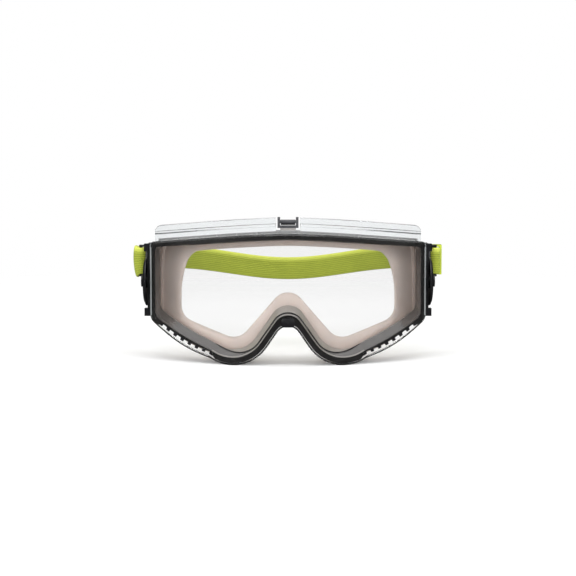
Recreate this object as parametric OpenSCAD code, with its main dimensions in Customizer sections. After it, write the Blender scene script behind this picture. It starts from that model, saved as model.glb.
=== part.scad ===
// Panoramic splash goggles: a clear wraparound lens on a deep frame with indirect vents,
// a soft face seal and an elastic headband on pivoting clips.
// Millimetres. X runs across the face, the wearer looks along -Y and +Z is up.
// The origin is the middle of the footprint, level with the lobes that the lens stands on.

/* [Lens] */
// Width over the clear lens
lens_w = 166.8; // [140:0.2:200]
// Height of the lens above the lobes that it stands on
lens_h = 77.4; // [64:0.2:93]
// Thickness of the lens
lens_t = 2.2; // [1.6:0.1:3]
// Angle that the lens wraps round to each side
lens_wrap = 48; // [40:1:52]
// How far the top edge falls from its middle to its corner
brow_drop = 6.8; // [3:0.1:10]
// Depth of the skirt behind the lens at the sides and the cheeks
skirt_d = 4; // [2:0.5:5]
// Thickness of that skirt
skirt_t = 0.8; // [0.6:0.1:1]

/* [Nose and cheeks] */
// Radius of the lobe under each eye
lobe_r = 25; // [20:0.5:30]
// Distance from the middle to the centre of a lobe
lobe_x = 33; // [28:0.5:38]
// Slope of the cheek edge
cheek_a = 28; // [20:1:34]
// Slope of the flanks of the nose arch
nose_a = 55.4; // [48:0.2:60]
// Radius at the top of the nose arch
nose_r = 7.2; // [4:0.2:9]

/* [Frame] */
// Depth of the frame behind the lens
frame_d = 12.8; // [9:0.2:16]
// Width of the black border round the window
border_w = 3.4; // [2.4:0.1:4.4]
// Thickness of the frame's wall
frame_wall = 2; // [1.4:0.1:2.6]
// Thickness of the gasket between lens and frame
gasket_t = 0.9; // [0.6:0.1:1.5]
// Number of openings in the upper vent
upper_vents = 12; // [6:1:14]
// Width of one upper vent opening
upper_vent_w = 10.6; // [6:0.2:11]
// Height of the upper vent strip
upper_vent_h = 2.6; // [2.2:0.1:3.4]
// Number of teeth in each lower vent
lower_teeth = 8; // [5:1:11]
// Width of one lower vent tooth
tooth_w = 2.5; // [1.5:0.1:3]
// Depth of the gaps between the teeth
tooth_h = 2; // [1.2:0.1:2.2]

/* [Brow] */
// Height of the brow cover above the edge of the lens
brow_h = 9.6; // [8.4:0.2:12]
// Thickness of the brow cover
brow_t = 1.5; // [1:0.1:2]
// Width of the latch between its ears
latch_w = 9.2; // [7:0.2:14]

/* [Face seal] */
// Distance from the lens to the face flange, at the middle
face_d = 24; // [20:0.5:30]
// Thickness of the face flange
flange_t = 3; // [2:0.2:4]
// Thickness of the seal's wall
seal_wall = 3; // [2:0.2:4]
// How far the flange's edge reaches inwards beside the eyes
flange_w = 18.6; // [14:0.2:24]

/* [Strap clips] */
// Height of the clip pivots
pivot_z = 45.8; // [42:0.2:48]
// Diameter of the domed clip hub
hub_d = 30; // [24:0.5:32]
// Diameter of the pivot pin
pin_d = 5; // [4:0.1:6]
// Height of the side brackets
bracket_h = 44; // [38:1:46]

/* [Headband] */
// Width of the webbing
strap_w = 15; // [12:0.5:18]
// Thickness of the webbing
strap_t = 2; // [1.4:0.1:2.4]
// Distance from the clip bars back to the bend round the head
strap_straight = 30; // [26:1:60]
// Depth of the bend round the back of the head
strap_bend = 59; // [40:1:90]
// How far the middle of the headband sags
strap_sag = 11.4; // [0:0.2:20]

/* [Hidden] */
$fn = 64;

seat = 0.1;             // gap between pieces that are fixed face to face
play = 0.05;            // radial running clearance of a pivot
free = 0.3;             // gap beside a piece that moves or is soft
past = 1;               // how far a cut runs past the face that it opens

half_w = lens_w / 2;
lens_r = half_w / sin(lens_wrap);
brow_power = 1.5;       // how late the top edge starts to fall
corner_r = 5;           // rounding of the lower side corners
shoulder_r = 3;         // rounding of the upper side corners
cheek_bulge = 2.4;      // how far the cheek edge bows out below its straight line
bulge_from = lobe_x + 13;
bulge_to = half_w - 1.4;
frame_in = skirt_t + seat;
frame_back = lens_t + seat + gasket_t + frame_d;
window_in = frame_in + border_w;
window_nose_r = nose_r + 2.8;
frame_lip = 1.4;        // how far the rear lip of the frame reaches inwards
frame_lip_t = 2;        // its thickness

// Face curve: a little tighter than the lens's, about an axis of its own
face_r = lens_r - 17;
face_y = face_d + face_r;
seal_side_in = frame_in + 1.2;
eye_cheek_a = 19;
eye_nose_a = 49.5;
eye_nose_r = 10;
eye_corner_r = 9;
eye_shoulder_r = 7;
eye_lean = 6.7;         // how far the upper end of each side leans inwards
lean_z = 38;            // where that lean starts
lean_h = 26.5;          // over what height it is reached
cheek_steps = 12;
eye_top_in = 8.4;
eye_lobe_in = 14;

// Side stack, outwards from the frame
frame_side = half_w - frame_in;
bracket_x = half_w + 0.2;
bracket_t = 2;
bracket_back = 14.87;   // from the lens's side edge back to the middle of the bracket
bracket_y = lens_r * (1 - cos(lens_wrap)) + bracket_back;
bracket_d = 15;
bracket_foot = 25;
rail_t = 1.9;
rail_h = 4.6;
pad_h = 10.6;           // height of the pads that carry a bracket on the frame
clip_x = bracket_x + bracket_t + 0.4;
clip_t = 2;
dome_h = 1.8;           // how far the hub bows outwards
dome_t = 1.2;
boss_r = pin_d / 2 + 1.8;
bar_r = 1.1;
bar_x = clip_x + 5.5;
bar_y = bracket_y + 16;
strap_z = pivot_z + 11.5;
lug_h = 2.4;
lug_gap = 0.8;          // between the webbing's edge and the clip's lugs
loop_r = bar_r + free + strap_t / 2;
peg_r = 1.5;
peg_head_r = 2.6;
peg_head_t = 1;

// Headband, along its middle line
band_x = bar_x - loop_r;
bend_y = bar_y + strap_straight;
back_y = bend_y + strap_bend;
sag_reach = 58;
layer_gap = strap_t + free;         // between the middles of two layers that lie together
tail_turn = 48;                     // where the free tail ends, in degrees round the bend
tail_ease = 25;                     // degrees over which the tail closes on the band
sewn_tail = 32;
sewn_ease = 12;
bend_steps = 48;

button_out = 1.6;                   // how far the nose clip's head stands off the lens
front_y = -button_out;
mid_y = (back_y + strap_t / 2 + front_y) / 2;

// ---- outlines, drawn as the wearer's face sees them from the front ----

// Arc of radius r in the corner b between a and c
function rounded(a, b, c, r) =
    let (u = (a - b) / norm(a - b), v = (c - b) / norm(c - b),
         half = acos(u * v) / 2, middle = b + (u + v) / norm(u + v) * r / sin(half),
         p = b + u * r / tan(half) - middle, q = b + v * r / tan(half) - middle,
         start = atan2(p.y, p.x), turn = sign(cross(p, q)) * (180 - 2 * half),
         steps = max(3, ceil(abs(turn) / 9)))
    [for (i = [0:steps]) middle + r * [cos(start + turn * i / steps), sin(start + turn * i / steps)]];

// Height of the top edge at x
function brow_z(x) = lens_h - brow_drop * pow(abs(x) / half_w, brow_power);

// Corner where the cheek edge and the nose flank meet under a lobe of radius r
function lobe_corner(r, cheek, flank) =
    [lobe_x, lobe_r] + r / cos((cheek + flank) / 2)
        * [sin((cheek - flank) / 2), -cos((cheek - flank) / 2)];

// Height at x of the straight cheek edge that runs off a lobe of radius r
function cheek_z(x, r, cheek) =
    lobe_r - r * cos(cheek) + (x - lobe_x - r * sin(cheek)) * tan(cheek);

// Height at the middle of the straight nose flank that runs off a lobe of radius r
function flank_z(r, flank) =
    lobe_r - r * cos(flank) + (lobe_x - r * sin(flank)) * tan(flank);

// A point of the cheek edge, bowed out by up to the given amount
function bowed(p, by) =
    p.x <= bulge_from || p.x >= bulge_to ? p
    : [p.x, p.y - by * sin(180 * (p.x - bulge_from) / (bulge_to - bulge_from))];

// A point of a side edge that leans inwards by up to the given amount above lean_z
function leant(p, by, w) =
    [p.x - by * pow(max(0, p.y - lean_z) / lean_h, 2) * pow(p.x / w, 4), p.y];

// Closed outline of the mask, set in from the lens's edge by side, top and lobe
function outline(side, top, lobe, bridge_r, cheek = cheek_a, flank = nose_a,
                 corner = corner_r, shoulder = shoulder_r, bulge = cheek_bulge, lean = 0) =
    let (w = half_w - side, r = lobe_r - lobe,
         peak = [0, flank_z(r, flank)],
         under = lobe_corner(r, cheek, flank),
         jaw = [w, cheek_z(w, r, cheek)],
         brow = [w, brow_z(w) - top],
         temple = [w - 2 * shoulder - 2, brow_z(w - 2 * shoulder - 2) - top],
         lobe_arc = rounded(peak, under, jaw, r),
         jaw_arc = rounded(under, jaw, brow, corner),
         lobe_end = lobe_arc[len(lobe_arc) - 1],
         cheek_line = [for (i = [1:cheek_steps - 1])
             lobe_end + (jaw_arc[0] - lobe_end) * i / cheek_steps],
         lower = [for (p = concat(lobe_arc, cheek_line, jaw_arc)) bowed(p, bulge)],
         upper = [for (p = rounded(jaw, brow, temple, shoulder)) leant(p, lean, w)],
         top_edge = [for (i = [9:-1:0])
             leant([temple.x * i / 9, brow_z(temple.x * i / 9) - top], lean, w)],
         half = concat(lower, lean > 0 ? lean_side(jaw_arc, upper, lean, w) : [], upper, top_edge))
    concat(rounded([-under.x, under.y], peak, under, bridge_r), half,
           [for (i = [len(half) - 2:-1:0]) [-half[i].x, half[i].y]]);

// Points up a leaning side, between the jaw's arc and the shoulder's
function lean_side(jaw_arc, upper, lean, w) =
    let (low = jaw_arc[len(jaw_arc) - 1].y, high = upper[0].y)
    [for (i = [1:7]) leant([w, low + (high - low) * i / 8], lean, w)];

function eye_outline() =
    outline(flange_w, eye_top_in, eye_lobe_in, eye_nose_r, eye_cheek_a, eye_nose_a,
            eye_corner_r, eye_shoulder_r, 0, eye_lean);

// ---- helpers ----

// Puts a piece that is drawn with the lens's front at y = 0 in its place
module place() { translate([0, -mid_y, 0]) children(); }

// The right-hand piece, or its mirror image on the left
module on_side(left) { mirror([left ? 1 : 0, 0, 0]) children(); }

// Pushes an outline back along the line of sight, from y = 0
module through(reach = lens_r - past) {
    translate([0, reach, 0]) rotate([90, 0, 0]) linear_extrude(reach + past) children();
}

// A round bar across the face, from x0 to x1
module across(x0, x1, r) { translate([x0, 0, 0]) rotate([0, 90, 0]) cylinder(r = r, h = x1 - x0); }

// Everything inside the curve that lies depth behind the lens's front
module inside_curve(depth) {
    translate([0, lens_r, -2 * past]) cylinder(r = lens_r - depth, h = 2 * lens_h, $fn = 180);
}

// An outline wrapped on the lens's curve, from depth d0 to depth d1
module wrapped(d0, d1) {
    difference() {
        intersection() {
            through() children();
            inside_curve(d0);
        }
        translate([0, 0, -past]) scale([1, 1, 1.2]) inside_curve(d1);
    }
}

module ring(outer, inner) {
    difference() {
        polygon(outer);
        polygon(inner);
    }
}

// A strip along the top edge, from low to high above it, out to reach on each side
module brow_strip(low, high, reach) {
    steps = 12;
    polygon(concat(
        [for (i = [-steps:steps]) [reach * i / steps, brow_z(reach * i / steps) + low]],
        [for (i = [steps:-1:-steps]) [reach * i / steps, brow_z(reach * i / steps) + high]]));
}

// ---- lens, gasket and frame ----

nose_z = flank_z(lobe_r, nose_a) - nose_r * (1 / cos(nose_a) - 1);
button_z = nose_z + 2.2;
button_w = 8;
button_h = 5;
button_pin_r = 1.5;

module lens() {
    shape = outline(0, 0, 0, nose_r);
    inner = outline(skirt_t, skirt_t, skirt_t, nose_r + skirt_t);
    color("#dfe8ea", 0.35) place() difference() {
        union() {
            wrapped(0, lens_t) polygon(shape);
            wrapped(lens_t - seat, lens_t + skirt_d) difference() {
                ring(shape, inner);
                square([2 * (lobe_x + 5), 3 * lobe_r], center = true);
                translate([-lens_w, brow_z(half_w) - shoulder_r]) square([2 * lens_w, lens_h]);
            }
        }
        translate([0, -past, button_z]) rotate([-90, 0, 0])
            cylinder(r = button_pin_r + seat, h = lens_t + 3 * past);
    }
}

// Height at x of the frame's bowed cheek edge
function frame_cheek_z(x) = bowed([x, cheek_z(x, lobe_r - frame_in, cheek_a)], cheek_bulge).y;

vent_x0 = lobe_x + (lobe_r - frame_in) * sin(cheek_a);
vent_x1 = half_w - frame_in - corner_r - 0.5;
vent_steps = 12;

// A band along that edge from x0 to x1, between two distances above it
module cheek_band(x0, x1, low, high) {
    xs = [for (i = [0:vent_steps]) x0 + (x1 - x0) * i / vent_steps];
    polygon(concat(
        [for (x = xs) [x, frame_cheek_z(x) + low / cos(cheek_a)]],
        [for (i = [vent_steps:-1:0]) [xs[i], frame_cheek_z(xs[i]) + high / cos(cheek_a)]]));
}

// Where the cheek edge of the frame makes room for a lower vent
module vent_room(extra) {
    for (left = [0, 1]) mirror([left, 0])
        cheek_band(vent_x0 - seat - extra, vent_x1 + seat + extra, -past, tooth_h + extra);
}

module frame_shape(set_in) {
    difference() {
        polygon(outline(set_in, set_in, set_in, nose_r + set_in));
        vent_room(seat);
    }
}

module lens_gasket() {
    color("#201c1b") place() difference() {
        wrapped(lens_t + seat, lens_t + seat + gasket_t) difference() {
            frame_shape(frame_in);
            polygon(outline(window_in, window_in - 1, window_in, window_nose_r));
        }
        translate([0, 0, button_z]) rotate([-90, 0, 0])
            cylinder(r = button_pin_r + seat, h = lens_t + 4 * gasket_t);
    }
}

module front_frame() {
    front = lens_t + gasket_t + 2 * seat;
    window = outline(window_in, window_in - 1, window_in, window_nose_r);
    color("#3a3838") place() difference() {
        union() {
            wrapped(front, front + frame_wall) difference() {
                frame_shape(frame_in);
                polygon(window);
            }
            wrapped(front + frame_wall - seat, frame_back) difference() {
                frame_shape(frame_in);
                polygon(outline(frame_in + frame_wall + 0.2, frame_in + frame_wall,
                                frame_in + frame_wall + tooth_h, nose_r + frame_in + frame_wall));
            }
            wrapped(frame_back - frame_lip_t, frame_back) difference() {
                frame_shape(frame_in);
                polygon(outline(window_in + frame_lip, window_in + frame_lip - 1,
                                window_in + frame_lip, window_nose_r + 1));
            }
        }
        translate([0, 0, button_z]) rotate([-90, 0, 0])
            cylinder(r = button_pin_r + seat, h = frame_back / 2);
        for (side = [0, 1]) on_side(side) peg_places()
            across(frame_side - 2 * frame_wall, bracket_x, peg_r + seat);
    }
}

module nose_clip() {
    grip = lens_t + gasket_t + 2 * seat + frame_wall;
    color("#1c1c1e") place() translate([0, 0, button_z]) rotate([90, 0, 0]) {
        intersection() {
            linear_extrude(button_out) intersection() {
                circle(r = button_w / 2);
                square([button_w, button_h], center = true);
            }
            translate([0, 0, button_out - 9]) sphere(r = 9);
        }
        translate([0, 0, -grip]) cylinder(r = button_pin_r, h = grip + seat);
    }
}

// ---- vents and brow ----

comb_d = 7;             // of the upper vents' comb, back from the lens
pedestal_h = 1.4;       // of the block on it that carries the latch
sink = 0.4;             // how deep that block starts in the comb

module upper_vent_comb() {
    base = seat - frame_in;
    pitch = upper_vent_w + 2;
    step = 2 * asin(pitch / 2 / lens_r);
    color("#8a8785") place() difference() {
        union() {
            wrapped(lens_t + seat, lens_t + comb_d)
                brow_strip(base, base + upper_vent_h, half_w - 6);
            translate([-latch_w / 2, lens_t + sink, lens_h + base + upper_vent_h - sink])
                cube([latch_w, comb_d - 2 * sink, pedestal_h + sink]);
        }
        for (i = [0:upper_vents - 1]) {
            turn = step * (i - (upper_vents - 1) / 2);
            translate([0, lens_r, brow_z(lens_r * sin(turn)) + base + 0.6]) rotate([0, 0, turn])
                translate([-upper_vent_w / 2, -lens_r, 0]) cube([upper_vent_w, 12, upper_vent_h - 1.2]);
        }
    }
}

notch_w = latch_w + 5;
ledge_z = 4.4;          // of the cover's ledge, above the lens's edge
ledge_d = 11;

module brow_vent_cover() {
    reach = half_w - 3.6;
    color("#e6ecee", 0.4) place() difference() {
        union() {
            wrapped(0.2, 0.2 + brow_t) difference() {
                brow_strip(seat + 0.1, brow_h, reach);
                for (left = [0, 1]) mirror([left, 0])
                    translate([reach, brow_z(reach) + brow_h]) rotate(-12)
                        translate([-1.6, -3.6]) square(8);
            }
            wrapped(brow_t, ledge_d) brow_strip(ledge_z, ledge_z + brow_t, reach - 1);
        }
        translate([-notch_w / 2, -past, lens_h + ledge_z - brow_t - 0.4])
            cube([notch_w, 2 * ledge_d, brow_h]);
    }
}

saddle_z = lens_h - frame_in + seat + upper_vent_h + pedestal_h + seat;
saddle_t = 1;
ear_t = 1.5;
latch_y = 6.5;
latch_z = lens_h + 6.8;
latch_r = 1.2;
trunnion_r = 0.9;
lever_l = 6.5;
lever_t = 1.4;

module latch_saddle() {
    top = latch_z + latch_r + 1.4;
    color("#46464a") place() difference() {
        union() {
            translate([-latch_w / 2 - ear_t, lens_t + 0.3, saddle_z])
                cube([latch_w + 2 * ear_t, latch_y + lever_l - lens_t, saddle_t]);
            for (side = [0, 1]) on_side(side) translate([latch_w / 2, latch_y - 3, saddle_z])
                cube([ear_t, 6, top - saddle_z]);
        }
        translate([0, latch_y, latch_z]) across(-latch_w, latch_w, trunnion_r + play);
    }
}

module brow_latch() {
    inner = latch_w / 2 - free;
    color("#3b3b3e") place() translate([0, latch_y, latch_z]) {
        across(-inner, inner, latch_r);
        across(-latch_w / 2 - ear_t, latch_w / 2 + ear_t, trunnion_r);
        translate([-inner, 0, -lever_t / 2]) cube([2 * inner, lever_l, lever_t]);
        translate([-inner, lever_l - 1.2, latch_hook]) cube([2 * inner, 1.2, -latch_hook]);
    }
}
latch_hook = saddle_z + saddle_t + free - latch_z;

module lower_vent_comb(left) {
    tooth_x = tooth_w * cos(cheek_a);
    pitch = (vent_x1 - vent_x0 - tooth_x) / (lower_teeth - 1);
    color("#1b1a1a") place() on_side(left) wrapped(lens_t + seat, lens_t + 6) {
        cheek_band(vent_x0, vent_x1, tooth_h - 0.8, tooth_h);
        for (i = [0:lower_teeth - 1]) let (x = vent_x0 + i * pitch)
            cheek_band(x, x + tooth_x, 0, tooth_h - 0.4);
    }
}
module lower_vent_comb_left() { lower_vent_comb(true); }
module lower_vent_comb_right() { lower_vent_comb(false); }

// ---- face seal ----

module inside_face(depth) {
    translate([0, face_y, -2 * past]) cylinder(r = face_r - depth, h = 2 * lens_h, $fn = 180);
}

module face_seal() {
    reach = lens_r - 2 * past;
    color("#a89a92") place() {
        difference() {
            intersection() {
                through(reach) ring(
                    outline(seal_side_in, seal_side_in, frame_in, nose_r + seal_side_in),
                    outline(seal_side_in + seal_wall, seal_side_in + seal_wall,
                            frame_in + seal_wall, nose_r + seal_side_in + seal_wall));
                inside_curve(frame_back + seat);
            }
            translate([0, 0, -past]) scale([1, 1, 1.2]) inside_face(seat);
        }
        difference() {
            intersection() {
                through(reach) ring(outline(seal_side_in, seal_side_in, 0, nose_r + 1), eye_outline());
                inside_face(0);
            }
            translate([0, 0, -past]) scale([1, 1, 1.2]) inside_face(flange_t);
        }
    }
}

// ---- side brackets, pins and clips, drawn on the right ----

module peg_places() {
    for (z = [pivot_z - hub_d / 2 - 2.6, pivot_z + hub_d / 2 + 2.6])
        translate([0, bracket_y + 4.5, z]) children();
}

module side_bracket(left) {
    top = bracket_foot + bracket_h;
    front = bracket_y - bracket_d / 2;
    color("#161617") place() on_side(left) difference() {
        union() {
            translate([bracket_x, front, bracket_foot]) cube([bracket_t, bracket_d, bracket_h]);
            for (z = [bracket_foot, top - rail_h])
                translate([bracket_x, front, z]) cube([bracket_t + rail_t, 5, rail_h]);
            for (z = [bracket_foot, top - pad_h])
                translate([frame_side + seat, bracket_y + 1, z])
                    cube([bracket_x - frame_side, bracket_d / 2 - 1, pad_h]);
        }
        translate([0, bracket_y, pivot_z]) across(bracket_x - past, clip_x, pin_d / 2 + seat);
        peg_places() across(frame_side, clip_x, peg_r + seat);
        peg_places() across(bracket_x + bracket_t - peg_head_t - seat, clip_x, peg_head_r + seat);
    }
}
module side_bracket_left() { side_bracket(true); }
module side_bracket_right() { side_bracket(false); }

module bracket_pegs(left) {
    head = bracket_x + bracket_t - peg_head_t;
    color("#2a2a2c") place() on_side(left) peg_places() {
        across(frame_side - frame_wall, head + seat, peg_r);
        across(head, head + peg_head_t, peg_head_r);
    }
}
module bracket_pegs_left() { bracket_pegs(true); }
module bracket_pegs_right() { bracket_pegs(false); }

pin_head_x = clip_x + dome_h + dome_t + 2 * play;
pin_head_t = 0.8;

module pivot_pin(left) {
    color("#2a2a2c") place() on_side(left) translate([0, bracket_y, pivot_z]) {
        across(frame_side + seat, bracket_x - seat, pin_d / 2 + 1);
        across(frame_side + seat, pin_head_x + pin_head_t, pin_d / 2);
        across(pin_head_x, pin_head_x + pin_head_t, pin_d / 2 + 1);
    }
}
module pivot_pin_left() { pivot_pin(true); }
module pivot_pin_right() { pivot_pin(false); }

// The clip's hub: a thin round shell that bows outwards along X
module dome() {
    steps = 6;
    rim = [for (i = [0:steps]) hub_d / 2 * i / steps];
    rotate([0, 90, 0]) rotate_extrude() polygon(concat(
        [for (r = rim) [r, dome_t + dome_h * (1 - pow(2 * r / hub_d, 2))]],
        [for (i = [steps:-1:0]) [rim[i], dome_h * (1 - pow(2 * rim[i] / hub_d, 2))]]));
}

module strap_clip(left) {
    low = strap_z - strap_w / 2 - lug_gap - lug_h;
    high = strap_z + strap_w / 2 + lug_gap;
    neck_y = bar_y - loop_r - strap_t / 2 - 0.8;
    color("#131314") place() on_side(left) difference() {
        union() {
            translate([clip_x, bracket_y, pivot_z]) dome();
            translate([0, bracket_y, pivot_z]) across(clip_x, clip_x + dome_h + dome_t, boss_r);
            translate([clip_x, 0, 0]) rotate([90, 0, 90]) linear_extrude(clip_t) polygon([
                [bracket_y + 6, low], [neck_y, low], [neck_y, high + lug_h],
                [bar_y - 5, high + lug_h], [bracket_y + 6, pivot_z + 9]]);
            for (z = [low, high]) translate([clip_x, neck_y - 2, z])
                cube([bar_x + bar_r - clip_x, bar_y + bar_r + 1 - neck_y, lug_h]);
            translate([bar_x, bar_y, low]) cylinder(r = bar_r, h = high + lug_h - low);
        }
        translate([0, bracket_y, pivot_z]) across(bracket_x, bar_x, pin_d / 2 + play);
    }
}
module strap_clip_left() { strap_clip(true); }
module strap_clip_right() { strap_clip(false); }

// ---- headband ----

// Middle line of the webbing in plan: free tail, right loop, round the head, left loop, sewn tail
function bend_at(turn, out) = [(band_x + out) * cos(turn), bend_y + (strap_bend + out) * sin(turn)];
function ease(t) = let (k = min(1, max(0, t))) k * k * (3 - 2 * k);
loop_out = 2 * loop_r;
strap_path = concat(
    [for (i = [0:16]) let (turn = tail_turn * (1 - i / 16))
        bend_at(turn, loop_out + (layer_gap - loop_out) * ease(turn / tail_ease))],
    [for (i = [1:3]) [bar_x + loop_r, bend_y - strap_straight * i / 4]],
    [for (i = [0:10]) [bar_x, bar_y] + loop_r * [cos(18 * i), -sin(18 * i)]],
    [for (i = [1:3]) [band_x, bar_y + strap_straight * i / 4]],
    [for (i = [0:bend_steps]) bend_at(180 * i / bend_steps, 0)],
    [for (i = [3:-1:1]) [-band_x, bar_y + strap_straight * i / 4]],
    [for (i = [0:10]) [-bar_x, bar_y] + loop_r * [cos(18 * i), -sin(18 * i)]],
    [for (i = [1:10]) let (along = sewn_tail * i / 10)
        [-bar_x - loop_r + (loop_out - layer_gap) * ease(along / sewn_ease), bar_y + along]]);

// Height of the webbing's middle: level at the sides, with a sag at the back
function strap_height(p) = strap_z - strap_sag * exp(-pow(norm(p - [0, back_y]) / sag_reach, 2));

// Rounded flat section of the webbing, through its thickness and across its width
webbing = [for (i = [0:11]) let (a = 30 * i + 15)
    [strap_t / 2 * sign(cos(a)) * pow(abs(cos(a)), 0.5),
     strap_w / 2 * sign(sin(a)) * pow(abs(sin(a)), 0.25)] / pow(cos(15), 0.5)];

module swept(path) {
    n = len(path);
    m = len(webbing);
    points = [for (i = [0:n - 1])
        let (d = path[min(i + 1, n - 1)] - path[max(i - 1, 0)], side = [d.y, -d.x] / norm(d))
        for (w = webbing) [path[i].x + side.x * w.x, path[i].y + side.y * w.x,
                           strap_height(path[i]) + w.y]];
    polyhedron(points, concat(
        [[for (j = [0:m - 1]) j]], [[for (j = [m - 1:-1:0]) (n - 1) * m + j]],
        [for (i = [0:n - 2], j = [0:m - 1]) let (k = (j + 1) % m, a = i * m, b = (i + 1) * m)
            each [[a + j, b + j, b + k], [a + j, b + k, a + k]]]));
}

module headband() { color("#b4c82c") place() swept(strap_path); }

slider_l = 8;
slider_wall = 1.2;
slider_y = bar_y + 7;
module strap_slider() {
    inner = 2 * loop_r + strap_t + 2 * free;
    tall = strap_w + 4 * free;
    color("#18181a") place() translate([bar_x, slider_y, strap_z]) {
        difference() {
            translate([-inner / 2 - slider_wall, 0, -tall / 2 - slider_wall])
                cube([inner + 2 * slider_wall, slider_l, tall + 2 * slider_wall]);
            translate([-inner / 2, -past, -tall / 2]) cube([inner, slider_l + 2 * past, tall]);
        }
        translate([0, slider_l / 2, -tall / 2 - seat]) cylinder(r = bar_r, h = tall + 2 * seat);
    }
}

module bar_tack() {
    outer = band_x + layer_gap + strap_t / 2;
    color("#9fb026") place() for (i = [0:3]) translate([-outer - 0.5, bar_y + 16 + 3 * i, strap_z - 5])
        cube([0.45, 1, 10]);
}

lens();
lens_gasket();
front_frame();
face_seal();
nose_clip();
brow_vent_cover();
upper_vent_comb();
latch_saddle();
brow_latch();
lower_vent_comb_left();
lower_vent_comb_right();
side_bracket_left();
side_bracket_right();
bracket_pegs_left();
bracket_pegs_right();
pivot_pin_left();
pivot_pin_right();
strap_clip_left();
strap_clip_right();
headband();
strap_slider();
bar_tack();
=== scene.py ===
"""Panoramic splash goggles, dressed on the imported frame.

A clear wraparound lens stands in front of a smoke-grey frame with a black border. A taupe
elastomer seal runs back from the frame to the face, a clear cover stands over the brow vents,
and a ribbed elastic headband hangs on two pivoting clips. Sizes in the classes are millimetres
in the maker's drawing, where y = 0 is the front of the lens.
"""
import logging
import math
from dataclasses import dataclass, field, replace
from enum import Enum
from typing import Any, Callable, Iterable, Sequence

import bmesh
import bpy
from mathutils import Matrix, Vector


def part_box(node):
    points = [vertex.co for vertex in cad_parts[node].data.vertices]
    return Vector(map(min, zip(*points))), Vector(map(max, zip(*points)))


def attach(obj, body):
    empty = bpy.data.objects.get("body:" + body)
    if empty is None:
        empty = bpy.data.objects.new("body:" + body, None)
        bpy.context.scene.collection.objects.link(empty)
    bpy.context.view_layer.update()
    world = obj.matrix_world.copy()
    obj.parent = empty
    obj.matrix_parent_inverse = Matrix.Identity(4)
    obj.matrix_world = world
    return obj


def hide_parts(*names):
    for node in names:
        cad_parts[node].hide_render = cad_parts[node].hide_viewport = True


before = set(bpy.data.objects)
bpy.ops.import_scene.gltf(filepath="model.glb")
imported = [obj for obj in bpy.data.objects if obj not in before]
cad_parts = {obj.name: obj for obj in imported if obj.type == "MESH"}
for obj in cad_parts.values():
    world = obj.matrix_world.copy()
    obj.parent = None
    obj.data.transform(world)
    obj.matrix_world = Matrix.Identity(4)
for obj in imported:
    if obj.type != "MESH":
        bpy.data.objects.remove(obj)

MM = 0.001
EDGE_ANGLE = 35.0
EDGE_STEPS = 3
LOG = logging.getLogger("goggles")

Flat = tuple[float, float]
Point = tuple[float, float, float]


class Body(Enum):
    """The moving bodies of the goggles."""

    GOGGLE = "goggle"
    RIGHT_CLIP = "right_clip"
    LEFT_CLIP = "left_clip"
    SLIDER = "slider"
    LATCH = "latch"


class Side(Enum):
    """The wearer's two sides, by their sign along X."""

    LEFT = -1
    RIGHT = 1

    @property
    def word(self) -> str:
        """The side as the names of the nodes have it."""
        return self.name.lower()


# ---- small maths ----


def mix(a: float, b: float, t: float) -> float:
    """Value between a and b at t."""
    return a + (b - a) * t


def ease(t: float) -> float:
    """Smooth step from 0 to 1, held at both ends."""
    k = min(1.0, max(0.0, t))
    return k * k * (3.0 - 2.0 * k)


def fillet(a: Flat, b: Flat, c: Flat, radius: float, steps: int) -> list[Flat]:
    """Arc that rounds the corner b between a and c.

    Args:
        a: Point before the corner.
        b: The corner.
        c: Point after the corner.
        radius: Radius of the arc.
        steps: Number of equal steps along it.

    Returns:
        steps + 1 points from the side of a to the side of c.
    """
    u = (Vector(a) - Vector(b)).normalized()
    v = (Vector(c) - Vector(b)).normalized()
    half = u.angle(v) / 2
    middle = Vector(b) + (u + v).normalized() * radius / math.sin(half)
    start = Vector(b) + u * radius / math.tan(half) - middle
    end = Vector(b) + v * radius / math.tan(half) - middle
    turn = math.atan2(start.x * end.y - start.y * end.x, start.dot(end))
    first = math.atan2(start.y, start.x)
    return [
        (middle.x + radius * math.cos(first + turn * i / steps),
         middle.y + radius * math.sin(first + turn * i / steps))
        for i in range(steps + 1)
    ]


def rounded(corners: Sequence[Flat], radii: Sequence[float], steps: int) -> list[Flat]:
    """Closed outline with its corners rounded.

    Args:
        corners: Corners in order.
        radii: Radius at each corner.
        steps: Number of equal steps along each arc.

    Returns:
        Points of all the arcs, joined by straight lines.
    """
    n = len(corners)
    arcs = [fillet(corners[i - 1], corners[i], corners[(i + 1) % n], radii[i], steps)
            for i in range(n)]
    return [p for arc in arcs for p in arc]


def circle(radius: float, steps: int) -> list[Flat]:
    """Points evenly spaced round a circle."""
    turns = [2 * math.pi * k / steps for k in range(steps)]
    return [(radius * math.cos(a), radius * math.sin(a)) for a in turns]


def height_at(line: Sequence[Flat], x: float) -> float:
    """Height at x of a polyline whose points run along X.

    Args:
        line: Points in rising order of x.
        x: Where to read it.

    Returns:
        The interpolated height.
    """
    for (x0, z0), (x1, z1) in zip(line, line[1:]):
        if x <= x1:
            return z0 if x1 - x0 < 1e-9 else mix(z0, z1, max(0.0, (x - x0) / (x1 - x0)))
    return line[-1][1]


# ---- outline of the mask ----


@dataclass(frozen=True)
class Rim:
    """One closed line round the mask, set in from the lens's edge."""

    side: float
    top: float
    lobe: float
    nose_r: float
    cheek: float = 28.0
    flank: float = 55.4
    corner: float = 5.0
    shoulder: float = 3.0
    bulge: float = 2.4
    vent: float = 0.0
    lean: float = 0.0

    def inset(self, by: float) -> "Rim":
        """The same line, moved inwards by a small amount."""
        return replace(self, side=self.side + by, top=self.top + by, lobe=self.lobe + by,
                       nose_r=self.nose_r + by)


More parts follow.
